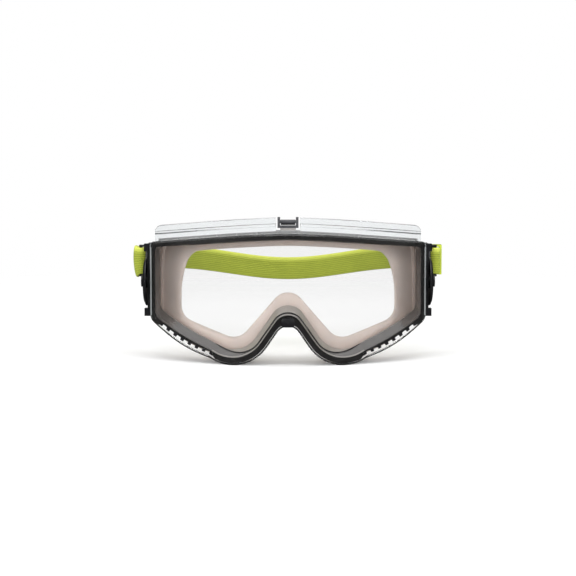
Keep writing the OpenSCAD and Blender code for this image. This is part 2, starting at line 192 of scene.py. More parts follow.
@dataclass(frozen=True)
class MaskForm:
    """Lines and curves that the lens, frame and seal share."""

    half_w: float = 83.4
    lens_h: float = 77.4
    brow_drop: float = 6.8
    lens_r: float = 112.226
    face_r: float = 95.226
    face_y: float = 119.226
    lobe_r: float = 25.0
    lobe_x: float = 33.0
    bulge_from: float = 46.0
    bulge_to: float = 82.0
    vent_from: float = 43.8
    vent_to: float = 77.5
    nose_steps: int = 8
    flank_steps: int = 9
    lobe_steps: int = 20
    cheek_steps: int = 34
    jaw_steps: int = 10
    side_steps: int = 12
    temple_gap: float = 2.0
    temple_steps: int = 24
    shoulder_steps: int = 14
    lean_from: float = 38.0
    lean_over: float = 26.5

    def brow_z(self, x: float) -> float:
        """Height of the lens's top edge at x."""
        return self.lens_h - self.brow_drop * (abs(x) / self.half_w) ** 1.5

    def on_lens(self, x: float, z: float, depth: float) -> Point:
        """Point at a depth behind the lens's curved front."""
        return (x, self.lens_r - math.sqrt((self.lens_r - depth) ** 2 - x * x), z)

    def on_face(self, x: float, z: float, depth: float) -> Point:
        """Point at a depth behind the front of the face flange."""
        return (x, self.face_y - math.sqrt((self.face_r - depth) ** 2 - x * x), z)

    def lower(self, rim: Rim) -> list[Flat]:
        """Right half of the lower edge, from the top of the nose arch to the side.

        Args:
            rim: The line to draw.

        Returns:
            Points with the same count and the same order for every rim.
        """
        cheek = math.radians(rim.cheek)
        flank = math.radians(rim.flank)
        w, r = self.half_w - rim.side, self.lobe_r - rim.lobe
        out = r / math.cos((cheek + flank) / 2)
        under = (self.lobe_x + out * math.sin((cheek - flank) / 2),
                 self.lobe_r - out * math.cos((cheek - flank) / 2))
        peak = (0.0, self.lobe_r - r * math.cos(flank)
                + (self.lobe_x - r * math.sin(flank)) * math.tan(flank))
        jaw = (w, self.lobe_r - r * math.cos(cheek)
               + (w - self.lobe_x - r * math.sin(cheek)) * math.tan(cheek))
        brow = (w, self.brow_z(w) - rim.top)
        nose = fillet((-under[0], under[1]), peak, under, rim.nose_r, 2 * self.nose_steps)
        lobe = fillet(peak, under, jaw, r, self.lobe_steps)
        corner = fillet(under, jaw, brow, rim.corner, self.jaw_steps)
        line = nose[self.nose_steps:]
        line[0] = (0.0, line[0][1])
        for end, steps in ((lobe, self.flank_steps), (corner, self.cheek_steps)):
            start = line[-1]
            line += [(mix(start[0], end[0][0], i / steps), mix(start[1], end[0][1], i / steps))
                     for i in range(1, steps)]
            line += end
        return [self._eased(p, rim, cheek) for p in line]

    def _eased(self, p: Flat, rim: Rim, cheek: float) -> Flat:
        """Puts the bulge of the cheek and the room for its vent into one point.

        Args:
            p: Point of the plain line.
            rim: The line it belongs to.
            cheek: Slope of the cheek in radians.

        Returns:
            The moved point.
        """
        x, z = p
        along = (x - self.bulge_from) / (self.bulge_to - self.bulge_from)
        if 0 < along < 1:
            z -= rim.bulge * math.sin(math.pi * along)
        if rim.vent:
            room = rim.vent * ease(x - self.vent_from) * ease(self.vent_to - x)
            x, z = x - room * math.sin(cheek), z + room * math.cos(cheek)
        return (x, z)

    def _leant(self, p: Flat, rim: Rim) -> Flat:
        """Leans the upper part of a side inwards.

        Args:
            p: Point of the upright line.
            rim: The line it belongs to.

        Returns:
            The moved point.
        """
        x, z = p
        rise = max(0.0, (z - self.lean_from) / self.lean_over)
        return (x - rim.lean * rise * rise * (x / (self.half_w - rim.side)) ** 4, z)

    def upper(self, rim: Rim, xs: Sequence[float]) -> list[Flat]:
        """Right half of the upper edge, read at the x of each lower point.

        Args:
            rim: The line to draw.
            xs: The x of each lower point.

        Returns:
            One point above each lower point.
        """
        w, n = self.half_w - rim.side, self.temple_steps
        temple = w - 2 * rim.shoulder - self.temple_gap
        line = [(temple * i / n, self.brow_z(temple * i / n) - rim.top) for i in range(n + 1)]
        line += reversed(fillet((w, 0.0), (w, self.brow_z(w) - rim.top), line[-1],
                                rim.shoulder, self.shoulder_steps))
        return [(x, height_at(line, x)) for x in xs]

    def ring(self, rim: Rim) -> list[Flat]:
        """Closed line round the mask, anticlockwise from the top of the nose arch.

        Args:
            rim: The line to draw.

        Returns:
            Points with the same count and order for every rim.
        """
        low = self.lower(rim)
        low[-1] = (self.half_w - rim.side, low[-1][1])
        high = self.upper(rim, [p[0] for p in low])
        side = [(low[-1][0], mix(low[-1][1], high[-1][1], i / self.side_steps))
                for i in range(1, self.side_steps)]
        right = [self._leant(p, rim) for p in low + side + high[::-1]]
        return right + [(-x, z) for x, z in right[-2:0:-1]]

    def plate(self) -> list[list[int]]:
        """Faces that fill one ring with upright columns, as places in the ring.

        Returns:
            The places of each face's points.
        """
        n = len(self.lower(LENS_EDGE))
        total = 4 * n + 2 * self.side_steps - 4
        top = 2 * n + self.side_steps - 2
        right = [[i, i + 1, top - i - 1, top - i] for i in range(n - 2)]
        right.append(list(range(n - 2, top - n + 3)))
        return right + [[(total - i) % total for i in face[::-1]] for face in right]


FORM = MaskForm()
LENS_EDGE = Rim(0.0, 0.0, 0.0, 7.2)
BORDER = Rim(1.2, 0.9, 1.1, 8.3, vent=2.6)
WINDOW = Rim(4.1, 3.3, 4.3, 8.6, bulge=1.2)
REAR_LIP = Rim(5.6, 4.6, 7.8, 10.6, bulge=1.2)
SEAL_OUT = Rim(2.1, 2.1, 0.9, 9.3)
SEAL_IN = Rim(5.4, 4.8, 7.6, 10.6, bulge=1.2)
FLANGE_OUT = Rim(2.1, 2.1, 0.0, 8.2)
EYE = Rim(18.6, 8.4, 14.0, 10.0, cheek=19.0, flank=49.5, corner=9.0, shoulder=7.0,
          bulge=0.0, lean=6.7)


def lens_ring(rim: Rim, depth: float | Callable[[float, float], float]) -> list[Point]:
    """A rim wrapped on the lens's curve, at one depth or at a depth for each point."""
    return [FORM.on_lens(x, z, depth(x, z) if callable(depth) else depth)
            for x, z in FORM.ring(rim)]


def between(a: Sequence[Point], b: Sequence[Point], t: float) -> list[Point]:
    """Ring that lies between two others, point by point."""
    return [tuple(mix(p[k], q[k], t) for k in range(3)) for p, q in zip(a, b)]


# ---- finishes ----


def linear(colour: str) -> tuple[float, float, float, float]:
    """Linear colour of an sRGB hex value.

    Args:
        colour: Such as "#a0b0c0".

    Returns:
        Red, green, blue and an alpha of 1.
    """
    parts = [int(colour[i:i + 2], 16) / 255 for i in (1, 3, 5)]
    lin = [c / 12.92 if c <= 0.04045 else ((c + 0.055) / 1.055) ** 2.4 for c in parts]
    return (lin[0], lin[1], lin[2], 1.0)


def add_node(tree: bpy.types.NodeTree, kind: str, inputs: dict[str | int, Any] | None = None,
             **settings: Any) -> bpy.types.Node:
    """Adds a node with its settings and its links.

    Args:
        tree: The node tree it goes in.
        kind: Blender's name for the node.
        inputs: Sockets by name or place; another node's output is linked, a value is set.
        settings: Properties of the node.

    Returns:
        The node.
    """
    node = tree.nodes.new(kind)
    for key, value in settings.items():
        setattr(node, key, value)
    for key, value in (inputs or {}).items():
        if isinstance(value, bpy.types.NodeSocket):
            tree.links.new(value, node.inputs[key])
        else:
            node.inputs[key].default_value = value
    return node


@dataclass(frozen=True)
class Finish:
    """A material with its name; each kind builds its own nodes."""

    name: str

    def make(self) -> bpy.types.Material:
        """The material, built once and then shared.

        Returns:
            The material.
        """
        known = bpy.data.materials.get(self.name)
        if known:
            return known
        material = bpy.data.materials.new(self.name)
        material.use_nodes = True
        tree = material.node_tree
        tree.nodes.clear()
        surface = self.surface(tree)
        add_node(tree, "ShaderNodeOutputMaterial", {"Surface": surface})
        return material

    def surface(self, tree: bpy.types.NodeTree) -> bpy.types.NodeSocket:
        """Builds the shader and gives its output."""
        raise NotImplementedError


@dataclass(frozen=True)
class MouldedPlastic(Finish):
    """Injection-moulded thermoplastic with an eroded-tool grain."""

    colour: str
    shade: str
    roughness: float
    ior: float = 1.5
    cloud: float = 14.0
    grain: float = 0.6
    bump: float = 0.02
    coat: float = 0.0

    def surface(self, tree: bpy.types.NodeTree) -> bpy.types.NodeSocket:
        """Two close tones, uneven gloss from handling, and a fine pitted skin.

        Args:
            tree: The material's empty node tree.

        Returns:
            The shader's output.
        """
        place = add_node(tree, "ShaderNodeTexCoord").outputs["Object"]
        cloud = add_node(tree, "ShaderNodeTexNoise", {
            "Vector": place, "Scale": 1 / (self.cloud * MM), "Detail": 4.0, "Roughness": 0.6})
        grain = add_node(tree, "ShaderNodeTexNoise", {
            "Vector": place, "Scale": 1 / (self.grain * MM), "Detail": 3.0})
        tone = add_node(tree, "ShaderNodeMix", {
            0: cloud.outputs["Fac"], 6: linear(self.shade), 7: linear(self.colour)},
            data_type="RGBA")
        gloss = add_node(tree, "ShaderNodeMapRange", {
            "Value": cloud.outputs["Fac"], "From Min": 0.3, "From Max": 0.7,
            "To Min": self.roughness * 0.8, "To Max": self.roughness * 1.25})
        skin = add_node(tree, "ShaderNodeBump", {
            "Height": grain.outputs["Fac"], "Strength": 0.5, "Distance": self.bump * MM})
        shader = add_node(tree, "ShaderNodeBsdfPrincipled", {
            "Base Color": tone.outputs[2], "Roughness": gloss.outputs[0],
            "IOR": self.ior, "Coat Weight": self.coat, "Coat Roughness": 0.12,
            "Normal": skin.outputs[0]})
        return shader.outputs[0]


@dataclass(frozen=True)
class ClearPlastic(Finish):
    """Clear moulded sheet: polished faces, or frosted where it diffuses."""

    tint: str
    ior: float
    roughness: float
    frost: float = 0.0
    ripple: float = 0.0
    haze: float = 22.0

    def surface(self, tree: bpy.types.NodeTree) -> bpy.types.NodeSocket:
        """Refracting shader that lets light fall through it on what stands behind.

        Args:
            tree: The material's empty node tree.

        Returns:
            The shader's output.
        """
        place = add_node(tree, "ShaderNodeTexCoord").outputs["Object"]
        haze = add_node(tree, "ShaderNodeTexNoise", {
            "Vector": place, "Scale": 1 / (self.haze * MM), "Detail": 3.0})
        gloss = add_node(tree, "ShaderNodeMapRange", {
            "Value": haze.outputs["Fac"], "From Min": 0.35, "From Max": 0.75,
            "To Min": self.roughness, "To Max": self.roughness * 1.6})
        flow = add_node(tree, "ShaderNodeBump", {
            "Height": haze.outputs["Fac"], "Strength": 0.5, "Distance": self.ripple * MM})
        shader = add_node(tree, "ShaderNodeBsdfPrincipled", {
            "Base Color": linear(self.tint), "Roughness": gloss.outputs[0], "IOR": self.ior,
            "Transmission Weight": 1.0 - self.frost, "Normal": flow.outputs[0]})
        rays = add_node(tree, "ShaderNodeLightPath")
        clear = add_node(tree, "ShaderNodeBsdfTransparent", {"Color": linear(self.tint)})
        mixed = add_node(tree, "ShaderNodeMixShader", {
            0: rays.outputs["Is Shadow Ray"], 1: shader.outputs[0], 2: clear.outputs[0]})
        return mixed.outputs[0]


@dataclass(frozen=True)
class SoftElastomer(Finish):
    """Moulded thermoplastic elastomer: matt, faintly waxy, lit a little from inside."""

    colour: str
    blush: str
    roughness: float = 0.55
    cloud: float = 11.0
    pit: float = 0.5
    pit_d: float = 0.03

    def surface(self, tree: bpy.types.NodeTree) -> bpy.types.NodeSocket:
        """Cloudy tone, powdery sheen and a skin of shallow pits.

        Args:
            tree: The material's empty node tree.

        Returns:
            The shader's output.
        """
        place = add_node(tree, "ShaderNodeTexCoord").outputs["Object"]
        cloud = add_node(tree, "ShaderNodeTexNoise", {
            "Vector": place, "Scale": 1 / (self.cloud * MM), "Detail": 5.0, "Roughness": 0.55})
        spread = add_node(tree, "ShaderNodeMapRange", {
            "Value": cloud.outputs["Fac"], "From Min": 0.3, "From Max": 0.7})
        tone = add_node(tree, "ShaderNodeMix", {
            0: spread.outputs[0], 6: linear(self.colour), 7: linear(self.blush)},
            data_type="RGBA")
        pits = add_node(tree, "ShaderNodeTexNoise", {
            "Vector": place, "Scale": 1 / (self.pit * MM), "Detail": 2.0})
        skin = add_node(tree, "ShaderNodeBump", {
            "Height": pits.outputs["Fac"], "Strength": 0.4, "Distance": self.pit_d * MM})
        shader = add_node(tree, "ShaderNodeBsdfPrincipled", {
            "Base Color": tone.outputs[2], "Roughness": self.roughness, "IOR": 1.45,
            "Subsurface Weight": 0.15, "Subsurface Radius": (1.0, 0.7, 0.5),
            "Subsurface Scale": 1.2 * MM, "Sheen Weight": 0.12, "Sheen Roughness": 0.5,
            "Normal": skin.outputs[0]})
        return shader.outputs[0]


@dataclass(frozen=True)
class WovenElastic(Finish):
    """Woven elastic webbing: cords along its length, with the fine fibre between them, painted
    shade in the valleys and a painted highlight along the upper edge.
    """

    lit: str
    # Colour of the painted shade in the valleys between the cords.
    valley_shade: str
    # Colour of the painted highlight along the upper edge, where the top light falls.
    painted_top_light: str
    cord: float = 1.25
    cord_d: float = 0.1
    fibre: float = 0.5
    stretch: float = 0.12
    wear: float = 9.0
    # How far below the upper edge the painted highlight reaches, in millimetres.
    edge: float = 4.4

    def surface(self, tree: bpy.types.NodeTree) -> bpy.types.NodeSocket:
        """Ribs from the cords, streaks from the fibre, painted shade in the valleys, a painted
        highlight along the upper edge, and a soft sheen.

        Args:
            tree: The material's empty node tree.

        Returns:
            The shader's output.
        """
        place = add_node(tree, "ShaderNodeUVMap", uv_map="webbing").outputs[0]
        parts = add_node(tree, "ShaderNodeSeparateXYZ", {0: place})
        ribs = add_node(tree, "ShaderNodeMath", {
            0: parts.outputs[1], 1: 2 * math.pi / (self.cord * MM)}, operation="MULTIPLY")
        rib = add_node(tree, "ShaderNodeMath", {0: ribs.outputs[0]}, operation="COSINE")
        drawn = add_node(tree, "ShaderNodeVectorMath", {
            0: place, 1: (self.stretch, 1.0, 1.0)}, operation="MULTIPLY")
        fibre = add_node(tree, "ShaderNodeTexNoise", {
            "Vector": drawn.outputs[0], "Scale": 1 / (self.fibre * MM), "Detail": 4.0,
            "Roughness": 0.7})
        wear = add_node(tree, "ShaderNodeTexNoise", {
            "Vector": place, "Scale": 1 / (self.wear * MM), "Detail": 3.0})
        height = add_node(tree, "ShaderNodeMath", {
            0: fibre.outputs["Fac"], 1: 1.2, 2: rib.outputs[0]}, operation="MULTIPLY_ADD")
        # Painted shade: the tone falls to the valley colour where rib and fibre are low, with
        # random wear noise added.
        shade = add_node(tree, "ShaderNodeMapRange", {
            "Value": height.outputs[0], "From Min": -0.6, "From Max": 1.8,
            "To Min": 0.0, "To Max": 0.8})
        wear_and_valley_shade = add_node(tree, "ShaderNodeMath", {
            0: wear.outputs["Fac"], 1: 0.4, 2: shade.outputs[0]}, operation="MULTIPLY_ADD",
            use_clamp=True)
        tone = add_node(tree, "ShaderNodeMix", {
            0: wear_and_valley_shade.outputs[0], 6: linear(self.valley_shade), 7: linear(self.lit)}, data_type="RGBA")
        # Painted highlight: paler towards the upper edge, as where top light catches its rounded
        # edge.
        away = add_node(tree, "ShaderNodeMath", {0: parts.outputs[1]}, operation="ABSOLUTE")
        near = add_node(tree, "ShaderNodeMapRange", {
            "Value": away.outputs[0], "From Min": 0.4 * MM, "From Max": self.edge * MM,
            "To Min": 0.9, "To Max": 0.0}, interpolation_type="SMOOTHSTEP")
        top_lit = add_node(tree, "ShaderNodeMix", {
            0: near.outputs[0], 6: tone.outputs[2], 7: linear(self.painted_top_light)},
            data_type="RGBA")
        bump = add_node(tree, "ShaderNodeBump", {
            "Height": height.outputs[0], "Strength": 0.6, "Distance": self.cord_d * MM})
        shader = add_node(tree, "ShaderNodeBsdfPrincipled", {
            "Base Color": top_lit.outputs[2], "Roughness": 0.8, "IOR": 1.45,
            "Sheen Weight": 0.1, "Sheen Roughness": 0.4, "Normal": bump.outputs[0]})
        return shader.outputs[0]


# Polycarbonate, injection moulded and polished: crisp edges, a bright view through
CLEAR_LENS = ClearPlastic("polycarbonate_polished", "#fcfcfc", 1.58, 0.002)
# The same plastic, made matt and pale grey round the rim and on the front of the side edges: a
# painted reflection
RIM_REFLECTION_PAINT = ClearPlastic("polycarbonate_painted_rim_reflection", "#a4a8a9", 1.58, 0.2, 0.7, 0.02)
# The same plastic, lightly frosted by its tool: pale grey with soft edges
CLEAR_COVER = ClearPlastic("polycarbonate_satin", "#e9ebec", 1.32, 0.06, 0.06, 0.01)
# Thermoplastic rubber, moulded: a deep black with a dull shine
GASKET = MouldedPlastic("tpe_rubber_moulded", "#1a1918", "#121111", 0.38, grain=0.5)
# Smoke-grey nylon, moulded and glossy: greys that follow the light
SMOKE = MouldedPlastic("nylon_smoke_gloss", "#5c5957", "#4a4746", 0.22, coat=0.3)
# The same nylon on its rounded front edge, painted pale: a painted highlight along the edge
SMOKE_HIGHLIGHT_PAINT = MouldedPlastic("nylon_smoke_painted_highlight", "#98948f", "#827e7a", 0.2, coat=0.3)
# The same nylon behind the bead, in a light warm grey: the seal's taupe darkened as painted
# shade, half matt
SEAL_SHADE_PAINT = MouldedPlastic("nylon_painted_seal_shade", "#a8a19a", "#958f88", 0.4, coat=0.1)
# Taupe elastomer, moulded: warm grey, matt and cloudy
SEAL = SoftElastomer("tpr_taupe_moulded", "#c0b4ad", "#cbbeb6")
# Black nylon, moulded with a fine eroded grain: soft highlights along its edges
TRIM = MouldedPlastic("nylon_black_grained", "#17171a", "#101012", 0.34, grain=0.7, bump=0.03)
# Grey ABS, moulded: middle grey, satin
VENT = MouldedPlastic("abs_grey_satin", "#9a9693", "#85817e", 0.4)
# Dark grey acetal, moulded: slippery satin
LATCH = MouldedPlastic("acetal_dark_satin", "#4a4a4d", "#3a3a3d", 0.3)
# Elastic webbing, woven from polyester over rubber: lime cords, with painted shade in the valleys
# and a painted highlight along the upper edge
WEBBING = WovenElastic("elastic_lime_woven", "#98a235", "#707d22", "#ccd45c")
# Lime acetal, moulded: the band's own colour with a satin shine
LIME = MouldedPlastic("acetal_lime_satin", "#b9c72e", "#a3b226", 0.42)
# Polyester thread, twisted: a darker lime with a little shine
THREAD = MouldedPlastic("polyester_thread_twisted", "#93a528", "#7f9120", 0.5, grain=0.3,
                        bump=0.05)


# ---- meshes ----


class Sketch:
    """Points and faces of one piece, in millimetres of the drawing."""

    def __init__(self) -> None:
        """Starts empty."""
        self.points: list[Point] = []
        self.faces: list[tuple[list[int], int]] = []
        self.uvs: dict[int, Flat] = {}
        self.hard: set[tuple[int, int]] = set()

    def ring(self, points: Iterable[Point]) -> list[int]:
        """Adds points and gives their numbers."""
        self.points.extend(new := list(points))
        return list(range(len(self.points) - len(new), len(self.points)))

    def face(self, numbers: Sequence[int], mark: int = 0) -> None:
        """Adds one face."""
        self.faces.append((list(numbers), mark))

    def bridge(self, a: Sequence[int], b: Sequence[int], mark: int = 0,
               closed: bool = True) -> None:
        """Joins two rows of the same length with quads.

        Args:
            a: First row.
            b: Second row.
            mark: Place of the finish among the piece's materials.
            closed: Whether the rows close on themselves.
        """
        n = len(a)
        for i in range(n if closed else n - 1):
            j = (i + 1) % n
            self.face((a[i], a[j], b[j], b[i]), mark)

    def loft(self, rings: Sequence[Sequence[Point]], marks: Sequence[int] | None = None,
             wrap: bool = True) -> list[list[int]]:
        """Joins rings in order, and the last to the first when wrap is set.

        Args:
            rings: Rings of the same length.
            marks: Finish of each join, all the first when left out.
            wrap: Whether the section closes on itself.

        Returns:
            The numbers of each ring's points.
        """
        rows = [self.ring(r) for r in rings]
        pairs = list(zip(rows, rows[1:])) + ([(rows[-1], rows[0])] if wrap else [])
        for i, (a, b) in enumerate(pairs):
            self.bridge(a, b, marks[i] if marks else 0)
        return rows

    def solid(self, rings: Sequence[Sequence[Point]], mark: int = 0) -> list[list[int]]:
        """Joins rings in order and closes both ends.

        Args:
            rings: Rings of the same length.
            mark: Place of the finish among the piece's materials.

        Returns:
            The numbers of each ring's points.
        """
        rows = self.loft(rings, [mark] * len(rings), wrap=False)
        self.face(rows[0], mark)
        self.face(rows[-1], mark)
        return rows

    def remark(self, old: int, new: int, where: Callable[[Point], bool]) -> None:
        """Gives another finish to the faces whose points all lie in a place.

        Args:
            old: Mark that the faces have.
            new: Mark that they get.
            where: Tells whether a point lies there.
        """
        self.faces = [(f, new if m == old and all(where(self.points[i]) for i in f) else m)
                      for f, m in self.faces]

    def build(self, name: str, finishes: Sequence[Finish], smooth: float = 40.0,
              bevel: float = 0.0, weld: bool = True) -> bpy.types.Object:
        """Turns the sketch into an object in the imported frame.

        Args:
            name: Name of the piece.
            finishes: Its materials, in the order of the marks.
            smooth: Angle in degrees beyond which an edge stays sharp.
            bevel: Width of a rounded edge in millimetres, or none.
            weld: Whether points in the same place become one.

        Returns:
            The object.
        """
        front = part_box("lens")[0][1]
        mesh = bpy.data.meshes.new(name)
        mesh.from_pydata([(x * MM, y * MM + front, z * MM) for x, y, z in self.points], [],
                         [f for f, _ in self.faces])
        mesh.polygons.foreach_set("material_index", [m for _, m in self.faces])
        if self.uvs:
            layer = mesh.uv_layers.new(name="webbing")
            for loop in mesh.loops:
                u, v = self.uvs[loop.vertex_index]
                layer.data[loop.index].uv = (u * MM, v * MM)
        work = bmesh.new()
        work.from_mesh(mesh)
        if weld and not self.uvs:
            bmesh.ops.remove_doubles(work, verts=work.verts, dist=1e-6)
        bmesh.ops.recalc_face_normals(work, faces=work.faces)
        work.to_mesh(mesh)
        work.free()
        mesh.polygons.foreach_set("use_smooth", [True] * len(mesh.polygons))
        mesh.set_sharp_from_angle(angle=math.radians(smooth))
        if self.hard:
            sharp = mesh.attributes.get("sharp_edge") or mesh.attributes.new(
                "sharp_edge", "BOOLEAN", "EDGE")
            for edge in mesh.edges:
                if tuple(sorted(edge.vertices)) in self.hard:
                    sharp.data[edge.index].value = True
        for finish in finishes:
            mesh.materials.append(finish.make())
        obj = bpy.data.objects.new(name, mesh)
        bpy.context.scene.collection.objects.link(obj)
        if bevel:
            round_edges(obj, bevel)
        return obj


def round_edges(obj: bpy.types.Object, width: float) -> None:
    """Rounds an object's sharp edges.

    Args:
        obj: The object.
        width: Width of the rounding in millimetres.
    """
    mod = obj.modifiers.new("moulded edges", "BEVEL")
    mod.width = width * MM
    mod.segments = EDGE_STEPS
    mod.limit_method = "ANGLE"
    mod.angle_limit = math.radians(EDGE_ANGLE)


def carry(node: str, finish: Finish, width: float = 0.0) -> None:
    """Dresses a node of the frame that keeps its shape.

    Args:
        node: Name of the node.
        finish: Its material.
        width: Width of its rounded edges in millimetres, or none.
    """
    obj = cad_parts[node]
    obj.data.materials.clear()
    obj.data.materials.append(finish.make())
    if width:
        round_edges(obj, width)
    LOG.info("kept %s with %s", node, finish.name)


def settle(obj: bpy.types.Object, body: Body, slot: str, *nodes: str) -> bpy.types.Object:
    """Puts a new piece on its body in place of the nodes that it stands for.

    Args:
        obj: The piece.
        body: The body it moves with.
        slot: Name of its material slot; not used.
        nodes: Nodes that it replaces.

    Returns:
        The piece.
    """
    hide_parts(*nodes)
    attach(obj, body.value)
    LOG.info("built %s on %s", obj.name, body.value)
    return obj


# ---- sub-assemblies ----


@dataclass
class LensUnit:
    """Clear lens with its skirt, the gasket behind it and the nose clip."""

    lens_t: float = 2.2
    skirt_d: float = 4.0
    skirt_t: float = 0.8
    skirt_x: float = 40.0
    skirt_grow: float = 8.0
    skirt_gap: float = 2.0
    skirt_fade: float = 4.0
    rim_reflection_w: float = 1.2
    rim_reflection_z: float = 14.0
    rim_reflection_d: float = 1.0
    gasket_d: float = 2.3
    gasket_t: float = 0.9

    def skirt_depth(self, x: float, z: float) -> float:
        """Depth of the skirt's end: it runs along the cheeks and the sides only.

        Args:
            x: Place across the lens.
            z: Height.

        Returns:
            Depth behind the lens's front.
        """
        top = FORM.brow_z(FORM.half_w) - self.skirt_gap
        run = ease((abs(x) - self.skirt_x) / self.skirt_grow) * ease((top - z) / self.skirt_fade)
        return self.lens_t + self.skirt_d * run

    def on_side_rim(self, p: Point) -> bool:
        """Whether a point lies on the front rounding of the lens's side edges.

        Args:
            p: The point.

        Returns:
            True on the part made matt and pale grey as a painted reflection.
        """
        x, y, z = p
        depth = FORM.lens_r - math.hypot(x, FORM.lens_r - y)
        return abs(x) > FORM.half_w - self.rim_reflection_w and z > self.rim_reflection_z and depth < self.rim_reflection_d

    def build_lens(self) -> bpy.types.Object:
        """One closed shell: polished front, rounded edge, skirt and back.

        Returns:
            The lens.
        """
        t, end = self.skirt_t, self.skirt_depth
        sketch = Sketch()
        # The joins round the skirt's back end take the pale matt finish as a painted reflection.
        rows = sketch.loft([
            lens_ring(LENS_EDGE.inset(1.1), 0.0),
            lens_ring(LENS_EDGE.inset(0.45), 0.3),
            lens_ring(LENS_EDGE, 0.9),
            lens_ring(LENS_EDGE, lambda x, z: end(x, z) - 0.25),
            lens_ring(LENS_EDGE.inset(0.2), end),
            lens_ring(LENS_EDGE.inset(t - 0.2), end),
            lens_ring(LENS_EDGE.inset(t), lambda x, z: mix(self.lens_t, end(x, z), 0.9)),
            lens_ring(LENS_EDGE.inset(t), self.lens_t),
        ], marks=[0, 0, 0, 1, 1, 1, 0], wrap=False)
        # The front rounding of the side edges takes it too, as more painted reflection.
        sketch.remark(0, 1, self.on_side_rim)
        for row in (rows[0], rows[-1]):
            sketch.hard.update(tuple(sorted(pair)) for pair in zip(row, row[1:] + row[:1]))
            for face in FORM.plate():
                sketch.face([row[i] for i in face])
        return sketch.build("lens_shell", [CLEAR_LENS, RIM_REFLECTION_PAINT], smooth=50, weld=False)

    def build_gasket(self) -> bpy.types.Object:
        """Flat rubber ring that reads as the black border through the lens.

        Returns:
            The gasket.
        """
        d0, d1 = self.gasket_d, self.gasket_d + self.gasket_t
        sketch = Sketch()
        sketch.loft([
            lens_ring(BORDER.inset(0.15), d0 + 0.02), lens_ring(WINDOW.inset(-0.15), d0 + 0.02),
            lens_ring(WINDOW, d0 + 0.17), lens_ring(WINDOW, d1 - 0.1),
            lens_ring(BORDER, d1 - 0.1), lens_ring(BORDER, d0 + 0.17)])
        return sketch.build("gasket_ring", [GASKET])

    def build(self) -> None:
        """Builds and dresses the unit."""
        settle(self.build_lens(), Body.GOGGLE, "clear_polycarbonate", "lens")
        settle(self.build_gasket(), Body.GOGGLE, "gasket_rubber", "lens_gasket")
        carry("nose_clip", TRIM, 0.3)


